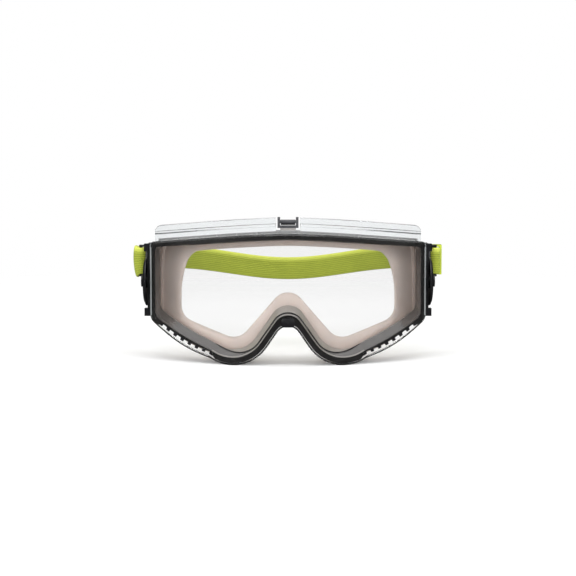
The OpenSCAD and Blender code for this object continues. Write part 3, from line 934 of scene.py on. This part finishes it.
@dataclass
class FrameUnit:
    """Deep frame with its lower vents, side brackets, pegs and pivot pins."""

    front: float = 3.3
    back: float = 16.0
    lip: float = 0.8
    crease_d: float = 2.8
    crease_low: float = 0.06
    crease_high: float = 0.96
    bead_r: float = 0.55
    bead_from: float = 18.0
    bead_end: float = 44.0
    bead_z: float = 50.0
    bead_fade: float = 6.0
    teeth: int = 8
    tooth_w: float = 2.5
    tooth_gap: float = 0.5
    tooth_taper: float = 0.82
    tooth_lean: float = 0.94
    tip_vent: float = 1.0
    tip_lift: float = 0.1
    root_lift: float = 0.8
    comb_d0: float = 2.3
    comb_d1: float = 8.2

    def crease(self) -> list[Point]:
        """Line of the bead: beside the border over the nose, at the rear lip on the cheeks.

        Returns:
            One point for each point of a ring.
        """
        low = lens_ring(WINDOW.inset(0.7), self.front + self.crease_d)
        high = lens_ring(REAR_LIP, self.back - self.lip)
        line = []
        for p, q in zip(low, high):
            out = (abs(p[0]) - self.bead_from) / (self.bead_end - self.bead_from)
            way = 1.0 if p[2] > self.bead_z else ease(out)
            line += between([p], [q], mix(self.crease_low, self.crease_high, way))
        return line

    def bead(self, sketch: Sketch) -> None:
        """Adds the rounded bead that lies on the crease, under the eyes and over the nose.

        Args:
            sketch: The frame's sketch.
        """
        line = self.crease()
        start, inner = lens_ring(WINDOW, 0.0), lens_ring(WINDOW.inset(1), 0.0)
        low = len(FORM.lower(WINDOW))
        rings = []
        for i in range(1 - low, low):
            left = self.bead_end - abs(line[i][0])
            if left >= 0:
                r = self.bead_r * mix(0.2, 1.0, ease(left / self.bead_fade))
                inward = (Vector(inner[i]) - Vector(start[i])).normalized()
                rings.append([tuple(Vector(line[i]) + inward * a + Vector((0, b, 0)))
                              for a, b in circle(r, 8)])
        sketch.solid(rings, 1)

    def build_frame(self) -> bpy.types.Object:
        """Border, front edge with a painted highlight, inner wall down to the crease, a wall in
        painted shade of the seal's tone, rear lip and outer wall.

        Returns:
            The frame.
        """
        f, b = self.front, self.back
        sketch = Sketch()
        # Mark 3, from the crease back to the rear lip, is painted shade: a darker copy of the
        # seal's taupe.
        sketch.loft([
            lens_ring(BORDER.inset(0.3), f), lens_ring(WINDOW.inset(-0.2), f),
            lens_ring(WINDOW, f + 0.25), lens_ring(WINDOW.inset(0.5), f + 2.2),
            self.crease(), lens_ring(REAR_LIP, b - self.lip),
            lens_ring(REAR_LIP.inset(-0.1), b - 0.3),
            lens_ring(REAR_LIP.inset(-0.5), b), lens_ring(BORDER.inset(0.4), b),
            lens_ring(BORDER, b - 0.4), lens_ring(BORDER, f + 0.3)],
            marks=[1, 1, 2, 0, 3, 0, 0, 0, 1, 1, 1])
        # The painted highlight on the front edge stays over the nose and lobes only.
        sketch.remark(2, 0, lambda p: abs(p[0]) > self.bead_end)
        self.bead(sketch)
        return sketch.build("frame_shell", [SMOKE, GASKET, SMOKE_HIGHLIGHT_PAINT, SEAL_SHADE_PAINT])

    def build_comb(self, side: Side) -> bpy.types.Object:
        """Row of tapered vent teeth under the cheek.

        Args:
            side: The side it stands on.

        Returns:
            The comb.
        """
        root, tip = FORM.lower(BORDER), FORM.lower(replace(BORDER, vent=self.tip_vent))
        half = self.tooth_w / 2 * math.cos(math.radians(BORDER.cheek))
        end = self.tooth_gap + half
        sketch = Sketch()
        for i in range(self.teeth):
            x = mix(FORM.vent_from + end, FORM.vent_to - end, i / (self.teeth - 1))
            thin = half * self.tooth_taper
            foot = x - self.tooth_lean
            corners = [(px, height_at(line, px) + lift) for px, line, lift in (
                (x - thin, tip, self.tip_lift), (x + thin, tip, self.tip_lift),
                (foot + half, root, self.root_lift), (foot - half, root, self.root_lift))]
            rings = [[FORM.on_lens(px, pz, depth) for px, pz in corners]
                     for depth in (self.comb_d0, self.comb_d1)]
            sketch.solid([[(side.value * a, b, c) for a, b, c in ring] for ring in rings])
        return sketch.build(f"lower_vent_{side.word}", [TRIM], bevel=0.25)

    def build(self) -> None:
        """Builds and dresses the unit."""
        settle(self.build_frame(), Body.GOGGLE, "smoke_frame_plastic", "front_frame")
        for side in Side:
            settle(self.build_comb(side), Body.GOGGLE, "black_trim_plastic",
                   f"lower_vent_comb_{side.word}")
            for node, width in (("side_bracket", 0.35), ("bracket_pegs", 0.25),
                                ("pivot_pin", 0.25)):
                carry(f"{node}_{side.word}", TRIM, width)


@dataclass
class BrowUnit:
    """Clear brow cover, the upper vent strip, and the latch in its saddle."""

    reach: float = 79.8
    height: float = 9.6
    ledge: float = 4.4
    ledge_d: float = 11.0
    sheet: float = 1.5
    end_h: float = 2.2
    end_ramp: float = 2.5
    end_round: float = 1.2
    notch: float = 7.1
    notch_z: float = 2.3
    seam: float = 0.001
    cover_steps: int = 96
    comb_reach: float = 77.4
    comb_z0: float = -0.8
    comb_z1: float = 1.8
    comb_d0: float = 2.4
    comb_d1: float = 9.2
    vents: int = 13
    rib: float = 0.9
    sink: float = 1.2
    draft: float = 0.2
    block_w: float = 9.2
    block_h: float = 1.4

    def section(self, x: float) -> list[Flat]:
        """Section of the cover, lower at its ends and cut down at the notch.

        Args:
            x: Place along the brow.

        Returns:
            Depths and heights above the lens's edge.
        """
        t, g, left = self.sheet, self.ledge, self.reach - abs(x)
        h = mix(self.height - self.end_h, self.height, ease(left / self.end_ramp))
        d = mix(self.end_h, self.ledge_d, ease(left / self.end_round))
        loop = [(0.2, 0.5), (0.35, 0.22), (t, 0.22), (t + 0.2, 0.45), (t + 0.2, g - 0.25),
                (t + 0.45, g), (d - 0.35, g), (d, g + 0.35), (d, g + t - 0.35),
                (d - 0.35, g + t), (t + 0.45, g + t), (t + 0.2, g + t + 0.25),
                (t + 0.2, h - 0.35), (t - 0.1, h), (0.55, h), (0.2, h - 0.35)]
        if abs(x) < self.notch:
            loop = [(min(a, t + 0.2), min(b, self.notch_z)) for a, b in loop]
        return loop

    def build_cover(self) -> bpy.types.Object:
        """Clear strip with a ledge over the vents, swept along the brow.

        Returns:
            The cover.
        """
        n = self.cover_steps
        xs = [self.reach * (-1 + 2 * i / n) for i in range(n + 1)]
        xs += [s * (self.notch + e) for s in (-1, 1) for e in (-self.seam, self.seam)]
        xs += [s * (self.reach - e) for s in (-1, 1) for e in (0.3, 0.8)]
        sketch = Sketch()
        sketch.solid([[FORM.on_lens(x, FORM.brow_z(x) + h, d) for d, h in self.section(x)]
                      for x in sorted(xs)])
        return sketch.build("brow_cover_clear", [CLEAR_COVER], smooth=30)

    def build_louvre(self) -> bpy.types.Object:
        """Vent strip under the cover: sunk panels between narrow ribs, and the latch's block.

        Returns:
            The strip.
        """
        pitch = 2 * self.comb_reach / self.vents
        stops = []
        for i in range(self.vents):
            left = i * pitch - self.comb_reach
            a, b = left + self.rib / 2, left + pitch - self.rib / 2
            stops += [(left, 0.0), (a, 0.0), (a + self.draft, 1.0)]
            stops += [(mix(a, b, k / 4), 1.0) for k in (1, 2, 3)]
            stops += [(b - self.draft, 1.0), (b, 0.0)]
        stops.append((self.comb_reach, 0.0))
        low, high, d0, d1 = self.comb_z0, self.comb_z1, self.comb_d0, self.comb_d1
        rings = []
        for x, sunk in stops:
            d = d0 + self.sink * sunk
            loop = [(d0, low), (d0, low + 0.3), (d, low + 0.55), (d, high - 0.55),
                    (d0, high - 0.3), (d0 + 0.15, high), (d1, high), (d1, low)]
            rings.append([FORM.on_lens(x, FORM.brow_z(x) + h, e) for e, h in loop])
        sketch = Sketch()
        sketch.solid(rings)
        top, half, front, back = FORM.lens_h + high, self.block_w / 2, d0 + 0.3, d1 - 0.4
        sketch.solid([[(-half, front, z), (half, front, z), (half, back, z), (-half, back, z)]
                      for z in (top - 0.2, top + self.block_h)])
        return sketch.build("brow_vent_louvre", [VENT], smooth=30)

    def build(self) -> None:
        """Builds and dresses the unit."""
        settle(self.build_cover(), Body.GOGGLE, "clear_cover_plastic", "brow_vent_cover")
        settle(self.build_louvre(), Body.GOGGLE, "grey_vent_plastic", "upper_vent_comb")
        carry("latch_saddle", LATCH, 0.25)
        carry("brow_latch", LATCH, 0.2)


@dataclass
class FaceSeal:
    """Soft seal: a wall from the frame back to a flange that lies on the face."""

    front: float = 16.1
    flange_t: float = 3.0

    def flange(self, t: float, depth: float) -> list[Point]:
        """Ring on the face curve, from the outer edge at t = 0 to the eye edge at t = 1."""
        outer, inner = FORM.ring(FLANGE_OUT), FORM.ring(EYE)
        return [FORM.on_face(mix(p[0], q[0], t), mix(p[1], q[1], t), depth)
                for p, q in zip(outer, inner)]

    def build_seal(self) -> bpy.types.Object:
        """Wall, corner ridge, groove, crowned flange and rolled eye lip.

        Returns:
            The seal.
        """
        t, steps = self.flange_t, (0.2, 0.4, 0.6, 0.8)
        start_in, start_out = lens_ring(SEAL_IN, self.front), lens_ring(SEAL_OUT, self.front)
        ridge, outer = self.flange(0.165, -1.5), self.flange(0.0, 1.0)
        groove = ((0.19, -1.75), (0.22, -1.45), (0.245, -0.55), (0.265, 0.15))
        crown = ((0.30, 0.25), (0.37, -0.1), (0.52, -0.6), (0.64, -0.85), (0.76, -0.8),
                 (0.87, -0.45), (0.95, 0.1))
        lip = ((0.99, 0.8), (1.0, 1.5), (0.99, 2.3), (0.96, 2.8), (0.9, t))
        back = ((0.6, t + 0.1), (0.25, t), (0.08, t - 0.1), (0.015, t - 0.6))
        rings = [lens_ring(SEAL_IN.inset(-0.4), self.front), lens_ring(SEAL_IN, self.front + 0.3)]
        rings += [between(start_in, ridge, k) for k in steps] + [ridge]
        rings += [self.flange(k, depth) for k, depth in groove + crown + lip + back] + [outer]
        rings += [between(outer, start_out, k) for k in steps]
        rings.append(lens_ring(SEAL_OUT.inset(0.1), self.front + 0.1))
        sketch = Sketch()
        sketch.loft(rings)
        return sketch.build("seal_moulding", [SEAL], smooth=80)

    def build(self) -> None:
        """Builds and dresses the seal."""
        seal = settle(self.build_seal(), Body.GOGGLE, "seal_elastomer", "face_seal")
        seal.modifiers.new("soft", "SUBSURF").render_levels = 1


@dataclass(frozen=True)
class ClipBar:
    """Upright bar of a strap clip, which the webbing turns round."""

    x: float = 91.5
    y: float = 68.0
    z: float = 57.3
    r: float = 1.1


BAR = ClipBar()


@dataclass
class StrapUnit:
    """Ribbed elastic headband with its slider and sewn end."""

    width: float = 15.0
    thick: float = 2.0
    free: float = 0.3
    straight: float = 30.0
    bend: float = 59.0
    sag: float = 11.4
    sag_reach: float = 58.0
    tail_turn: float = 48.0
    tail_ease: float = 25.0
    sewn_tail: float = 32.0
    sewn_ease: float = 12.0
    swell_y: float = 5.0
    swell_reach: float = 8.0
    swell: float = 2.1
    swell_fall: float = 1.3
    swell_wide: float = 0.28
    swell_drop: float = 0.6
    turn_wide: float = 0.1
    turn_reach: float = 7.0
    beside_head: float = 85.0
    cords: int = 12
    rib_h: float = 0.09
    crown: float = 0.25
    tack_rows: int = 4
    stitches: int = 12
    tack_y: float = 16.5
    tack_h: float = 10.0
    row_gap: float = 3.0
    stitch_lean: float = 0.45
    stitch_rise: float = 0.28
    length: float = 0.0

    @property
    def loop_r(self) -> float:
        """Radius of the webbing's middle round a clip bar."""
        return BAR.r + self.free + self.thick / 2

    @property
    def band_x(self) -> float:
        """Where the long layer runs, from the middle of the head."""
        return BAR.x - self.loop_r

    def bend_at(self, turn: float, out: float) -> Flat:
        """Point round the back of the head, moved out from the long layer."""
        a = math.radians(turn)
        return ((self.band_x + out) * math.cos(a),
                BAR.y + self.straight + (self.bend + out) * math.sin(a))

    def path(self) -> list[Flat]:
        """Middle line in plan: free tail, right loop, head, left loop, sewn tail.

        Returns:
            Points from the free end to the sewn end.
        """
        r, gap, out = self.loop_r, self.thick + self.free, 2 * self.loop_r
        turn = [(r * math.cos(math.radians(9 * i)), r * math.sin(math.radians(9 * i)))
                for i in range(21)]
        run = [BAR.y + self.straight * i / 8 for i in range(1, 8)]
        tail = [self.tail_turn * (1 - i / 32) for i in range(33)]
        sewn = [self.sewn_tail * i / 20 for i in range(1, 21)]
        line = [self.bend_at(a, mix(out, gap, ease(a / self.tail_ease))) for a in tail]
        line += [(BAR.x + r, y) for y in run[::-1]]
        line += [(BAR.x + a, BAR.y - b) for a, b in turn]
        line += [(self.band_x, y) for y in run]
        line += [self.bend_at(180 * i / 120, 0) for i in range(121)]
        line += [(-self.band_x, y) for y in run[::-1]]
        line += [(a - BAR.x, BAR.y - b) for a, b in turn]
        line += [((out - gap) * ease(y / self.sewn_ease) - BAR.x - r, BAR.y + y) for y in sewn]
        return line

    def height(self, p: Flat) -> float:
        """Height of the webbing's middle: level beside the head, sagging behind it.

        Args:
            p: Point of the path.

        Returns:
            Height above the floor of the drawing.
        """
        back = BAR.y + self.straight + self.bend
        far = math.hypot(p[0], p[1] - back) / self.sag_reach
        return BAR.z - self.sag * math.exp(-far * far)

    def puff(self, p: Flat) -> float:
        """How far the sewn end swells beside the left clip, from 0 to 1."""
        out = ease((-p[0] - BAR.x) / self.loop_r)
        return out * math.exp(-(((p[1] - BAR.y - self.swell_y) / self.swell_reach) ** 2))

    def spread(self, p: Flat) -> float:
        """How much wider the webbing lies where it turns round a bar.

        Args:
            p: Point of the path.

        Returns:
            Scale of its width.
        """
        near = math.exp(-(((p[1] - BAR.y) / self.turn_reach) ** 2))
        turn = near if abs(p[0]) > self.beside_head else 0.0
        return 1.0 + self.turn_wide * turn + self.swell_wide * self.puff(p)

    def section(self) -> list[Flat]:
        """Ribbed section: through the thickness and across the width.

        Returns:
            Points round the section.
        """
        half_t, half_w = self.thick / 2, self.width / 2
        steps = self.cords * 4
        face = []
        for i in range(steps + 1):
            w = -half_w + 0.5 + (self.width - 1.0) * i / steps
            rib = self.rib_h * (1 - math.cos(2 * math.pi * i / 4)) / 2
            crown = self.crown * (1 - (w / half_w) ** 4)
            face.append((half_t - 0.34 + rib + crown, w))
        edge = [(half_t * 0.45, half_w - 0.08), (0.0, half_w), (-half_t * 0.45, half_w - 0.08)]
        loop = face + edge + [(-a, w) for a, w in face[::-1]]
        return loop + [(a, -w) for a, w in edge[::-1]]

    def build_band(self) -> bpy.types.Object:
        """Sweeps the section along the path, with the weave's own coordinates.

        Returns:
            The headband.
        """
        line, section = self.path(), self.section()
        across = [0.0]
        for p, q in zip(section, section[1:]):
            across.append(across[-1] + math.dist(p, q))
        # The weave's v runs from the upper edge, where the painted highlight sits.
        upper = across[section.index((0.0, self.width / 2))]
        along, rings = [0.0], []
        for p, q in zip(line, line[1:]):
            along.append(along[-1] + math.dist(p, q))
        for i, p in enumerate(line):
            a, b = line[max(i - 1, 0)], line[min(i + 1, len(line) - 1)]
            side = Vector((b[1] - a[1], a[0] - b[0])).normalized()
            z, puff, spread = self.height(p), self.puff(p), self.spread(p)
            ring = []
            for t, w in section:
                bow = puff * (self.swell - self.swell_fall * (2 * w / self.width - 0.25) ** 2)
                ring.append((p[0] + side.x * t - bow, p[1] + side.y * t,
                             z + w * spread - self.swell_drop * puff))
            rings.append(ring)
        sketch = Sketch()
        for u, row in zip(along, sketch.solid(rings)):
            sketch.uvs.update({number: (u, v - upper) for number, v in zip(row, across)})
        self.length = along[-1]
        return sketch.build("headband_webbing", [WEBBING], smooth=60)

    def build_tack(self) -> bpy.types.Object:
        """Rows of leaning stitches that hold the sewn tail.

        Returns:
            The tack.
        """
        outer = self.band_x + self.thick + self.free + self.thick / 2
        n = self.stitches
        sketch = Sketch()
        for stitch in range(self.tack_rows * n):
            row, k = divmod(stitch, n)
            y = BAR.y + self.tack_y + self.row_gap * row
            z = BAR.z + self.tack_h * ((k + 0.5) / n - 0.5)
            lean = self.stitch_lean if k % 2 else -self.stitch_lean
            rings = []
            for t in (0.0, 0.25, 0.5, 0.75, 1.0):
                bow = self.stitch_rise * math.sin(math.pi * t)
                rings.append([(-outer - 0.02 - bow - 0.14 * a,
                               y + mix(-lean, lean, t) + 0.1 * b, z + mix(-0.5, 0.5, t))
                              for a, b in circle(1.0, 6)])
            sketch.solid(rings)
        return sketch.build("sewn_tack", [THREAD], smooth=80)

    def build(self) -> None:
        """Builds and dresses the unit."""
        band = settle(self.build_band(), Body.RIGHT_CLIP, "headband_elastic", "headband")
        settle(self.build_tack(), Body.RIGHT_CLIP, "tack_thread", "bar_tack")
        carry("strap_slider", LIME, 0.5)


@dataclass
class ClipUnit:
    """A strap clip: domed hub, neck and the bar that carries the webbing."""

    side: Side
    face: float = 86.0
    pivot_y: float = 52.0
    pivot_z: float = 45.8
    hub_r: float = 15.0
    bow: float = 1.8
    wall: float = 1.2
    bore: float = 2.6
    plate: float = 2.0
    neck_y: float = 63.8
    neck_low: float = 8.0
    neck_high: float = 10.5
    neck_top: Flat = (4.0, 10.0)
    neck_r: float = 3.0
    corner_r: float = 1.2
    edge: float = 0.4
    arm_in: float = 8.7
    arm_out: float = 9.8
    arm_root: Flat = (61.8, 64.2)
    arm_tip: Flat = (66.2, 69.6)
    arm_back: float = 2.4
    arm_middle: Flat = (89.5, 66.5)
    arm_draft: float = 0.94
    turn_steps: int = 72
    sketch: Sketch = field(default_factory=Sketch)

    def rise(self, r: float) -> float:
        """How far the disc bows out at a radius."""
        return self.bow * (1 - (r / self.hub_r) ** 2)

    def hub(self) -> None:
        """Bowed disc, turned about the pivot, with a rounded rim, a ring and a boss."""
        outer = [(r, self.rise(r) + self.wall) for r in (4.9, 6.0, 8.0, 10.0, 11.6)]
        ring = [(12.0, self.rise(12.0) + self.wall + 0.25),
                (12.9, self.rise(12.9) + self.wall + 0.25), (13.3, self.rise(13.3) + self.wall)]
        rim = [(14.5, self.rise(14.5) + self.wall - 0.05), (self.hub_r, self.wall - 0.45),
               (self.hub_r, 0.2), (14.7, 0.0)]
        boss = [(self.bore, 0.0), (self.bore, self.bow + self.wall - 0.15),
                (self.bore + 0.15, self.bow + self.wall), (4.2, self.bow + self.wall),
                (4.5, self.bow + self.wall - 0.2)]
        inner = [(r, self.rise(r)) for r in (12.0, 8.0, 4.4)] + [(4.3, 0.0)]
        s, y, z = self.side.value, self.pivot_y, self.pivot_z
        self.sketch.loft([
            [(s * (self.face + h), y + a, z + b) for a, b in circle(r, self.turn_steps)]
            for r, h in boss + outer + ring + rim + inner])

    def neck(self) -> None:
        """Plate from the hub to the webbing, with rounded corners and edges."""
        y, low, high = self.pivot_y, BAR.z - self.arm_out, BAR.z + self.arm_out
        corners = [(y + self.neck_low, low + 0.5), (self.neck_y, low), (self.neck_y, high),
                   (y + self.neck_high, high),
                   (y + self.neck_top[0], self.pivot_z + self.neck_top[1])]
        wide, slim = self.neck_r, self.corner_r
        outline = rounded(corners, (wide, slim, slim, wide, wide), 6)
        middle = tuple(sum(p[k] for p in outline) / len(outline) for k in (0, 1))
        x0, x1, e, near = self.face, self.face + self.plate, self.edge, 0.3 * self.edge
        rings = []
        for x, inset in ((x0, e), (x0 + near, near), (x0 + e, 0.0), (x1 - e, 0.0),
                         (x1 - near, near), (x1, e)):
            shrunk = [(p, 1 - inset / math.dist(p, middle)) for p in outline]
            rings.append([(self.side.value * x, mix(middle[0], p[0], k),
                           mix(middle[1], p[1], k)) for p, k in shrunk])
        self.sketch.solid(rings)

    def arms(self) -> None:
        """Two slim arms and the round bar between them."""
        s, root, tip = self.side.value, self.face + 0.3, BAR.x + BAR.r
        corners = [(root, self.arm_root[0]), (tip, self.arm_tip[0]), (tip, self.arm_tip[1]),
                   (BAR.x - self.arm_back, self.arm_tip[1]), (root, self.arm_root[1])]
        outline = rounded(corners, [1.0] * len(corners), 5)
        (mx, my), shrink = self.arm_middle, self.arm_draft
        for z0, z1 in ((-self.arm_out, -self.arm_in), (self.arm_in, self.arm_out)):
            self.sketch.solid([[(s * mix(mx, x, k), mix(my, y, k), BAR.z + z) for x, y in outline]
                               for z, k in ((z0, shrink), (z0 + 0.25, 1.0),
                                            (z1 - 0.25, 1.0), (z1, shrink))])
        self.sketch.solid([[(s * BAR.x + a, BAR.y + b, BAR.z + z) for a, b in circle(BAR.r, 24)]
                           for z in (0.5 - self.arm_out, self.arm_out - 0.5)])

    def build(self) -> None:
        """Builds and dresses the clip."""
        self.hub()
        self.neck()
        self.arms()
        word = self.side.word
        settle(self.sketch.build(f"clip_{word}", [TRIM]), Body(f"{word}_clip"),
               "black_trim_plastic", f"strap_clip_{word}")


@dataclass(frozen=True)
class StudioPaper(Finish):
    """White matt paper that fades out far away and in glossy reflections."""

    near: float = 0.25
    far: float = 0.7

    def surface(self, tree: bpy.types.NodeTree) -> bpy.types.NodeSocket:
        """Plain diffuse white, mixed out to clear.

        Args:
            tree: The material's empty node tree.

        Returns:
            The shader's output.
        """
        way = add_node(tree, "ShaderNodeTexCoord").outputs["Object"]
        far = add_node(tree, "ShaderNodeVectorMath", {0: way}, operation="LENGTH")
        fade = add_node(tree, "ShaderNodeMapRange", {
            "Value": far.outputs["Value"], "From Min": self.near, "From Max": self.far},
            interpolation_type="SMOOTHERSTEP")
        mirrored = add_node(tree, "ShaderNodeLightPath").outputs["Glossy Depth"]
        gone = add_node(tree, "ShaderNodeMath", {
            0: fade.outputs[0], 1: mirrored}, use_clamp=True)
        paper = add_node(tree, "ShaderNodeBsdfDiffuse", {"Color": linear("#fafafa")})
        clear = add_node(tree, "ShaderNodeBsdfTransparent")
        mixed = add_node(tree, "ShaderNodeMixShader", {
            0: gone.outputs[0], 1: paper.outputs[0], 2: clear.outputs[0]})
        return mixed.outputs[0]


@dataclass
class Studio:
    """Pale floor, soft lights and the camera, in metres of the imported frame."""

    aim: Point = (0.0, -0.0782, 0.046)
    distance: float = 0.9
    elevation: float = 5.0
    focal: float = 96.98
    floor_r: float = 6.0
    ambient: float = 0.8
    dark: float = 0.03

    def build_floor(self) -> None:
        """Pale matt floor."""
        mesh = bpy.data.meshes.new("studio_floor")
        r = self.floor_r
        mesh.from_pydata([(-r, -r, 0), (r, -r, 0), (r, r, 0), (-r, r, 0)], [], [(0, 1, 2, 3)])
        mesh.materials.append(StudioPaper("studio_paper_matt").make())
        floor = bpy.data.objects.new("studio_floor", mesh)
        bpy.context.scene.collection.objects.link(floor)

    def add_light(self, name: str, place: Point, size: float, power: float,
                  mirrored: bool = True) -> None:
        """Adds a square soft light that faces the goggles.

        Args:
            name: Name of the light.
            place: Where it stands.
            size: Length of its sides.
            power: Power in watts.
            mirrored: Whether glossy surfaces show it.
        """
        data = bpy.data.lights.new(name, "AREA")
        data.shape = "SQUARE"
        data.size = size
        data.energy = power
        light = bpy.data.objects.new(name, data)
        light.location = place
        light.rotation_euler = (Vector(self.aim) - Vector(place)).to_track_quat(
            "-Z", "Y").to_euler()
        light.visible_glossy = light.visible_transmission = mirrored
        bpy.context.scene.collection.objects.link(light)

    def build_lights(self) -> None:
        """Room light, softboxes and a front fill.

        The camera sees white. Diffuse rays see an even grey room, and glossy ones a dome that is
        dark at the horizon, so that curved faces keep their edges.
        """
        world = bpy.data.worlds.new("studio")
        world.use_nodes = True
        tree = world.node_tree
        rays = add_node(tree, "ShaderNodeLightPath").outputs
        way = add_node(tree, "ShaderNodeTexCoord").outputs["Generated"]
        up = add_node(tree, "ShaderNodeSeparateXYZ", {0: way}).outputs[2]
        dome = add_node(tree, "ShaderNodeMapRange", {
            "Value": up, "From Min": 0.2, "From Max": 0.75,
            "To Min": self.dark, "To Max": 1.0}, interpolation_type="SMOOTHSTEP")
        shiny = add_node(tree, "ShaderNodeMath", {
            0: rays["Glossy Depth"], 1: 1.0}, operation="MINIMUM")
        soft = add_node(tree, "ShaderNodeMix", {
            0: shiny.outputs[0], 2: self.ambient, 3: dome.outputs[0]})
        bounced = add_node(tree, "ShaderNodeMath", {
            0: rays["Glossy Depth"], 1: rays["Diffuse Depth"]}, use_clamp=True)
        level = add_node(tree, "ShaderNodeMix", {
            0: bounced.outputs[0], 2: 1.0, 3: soft.outputs[0]})
        tree.links.new(level.outputs[0], tree.nodes["Background"].inputs["Strength"])
        tree.nodes["Background"].inputs["Color"].default_value = (1.0, 1.0, 1.0, 1.0)
        bpy.context.scene.world = world
        self.add_light("softbox_top", (0.0, -0.5, 1.3), 0.9, 4.0)
        self.add_light("softbox_left", (-1.1, -0.8, 0.6), 0.5, 5.0)
        self.add_light("softbox_right", (1.1, -0.8, 0.6), 0.5, 5.0)
        self.add_light("front_fill", (0.0, -1.6, 0.3), 0.9, 16.0, mirrored=False)

    def build_camera(self) -> None:
        """Camera a little above the middle of the goggles, looking straight at them."""
        data = bpy.data.cameras.new("camera")
        data.lens = self.focal
        camera = bpy.data.objects.new("camera", data)
        a = math.radians(self.elevation)
        way = Vector((0, -math.cos(a), math.sin(a)))
        camera.location = Vector(self.aim) + self.distance * way
        camera.rotation_euler = (-way).to_track_quat("-Z", "Y").to_euler()
        bpy.context.scene.collection.objects.link(camera)
        bpy.context.scene.camera = camera

    def build(self) -> None:
        """Builds the studio."""
        self.build_camera()
        self.build_floor()
        self.build_lights()
        bpy.context.scene.view_settings.view_transform = "Standard"


def main() -> None:
    """Builds every sub-assembly in order."""
    logging.basicConfig(level=logging.INFO, format="%(name)s: %(message)s")
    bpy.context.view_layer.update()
    Studio().build()
    for unit in (StrapUnit(), ClipUnit(Side.LEFT), ClipUnit(Side.RIGHT), LensUnit(),
                 FrameUnit(), BrowUnit(), FaceSeal()):
        unit.build()
        LOG.info("finished %s", type(unit).__name__)


if __name__ == "__main__":
    main()
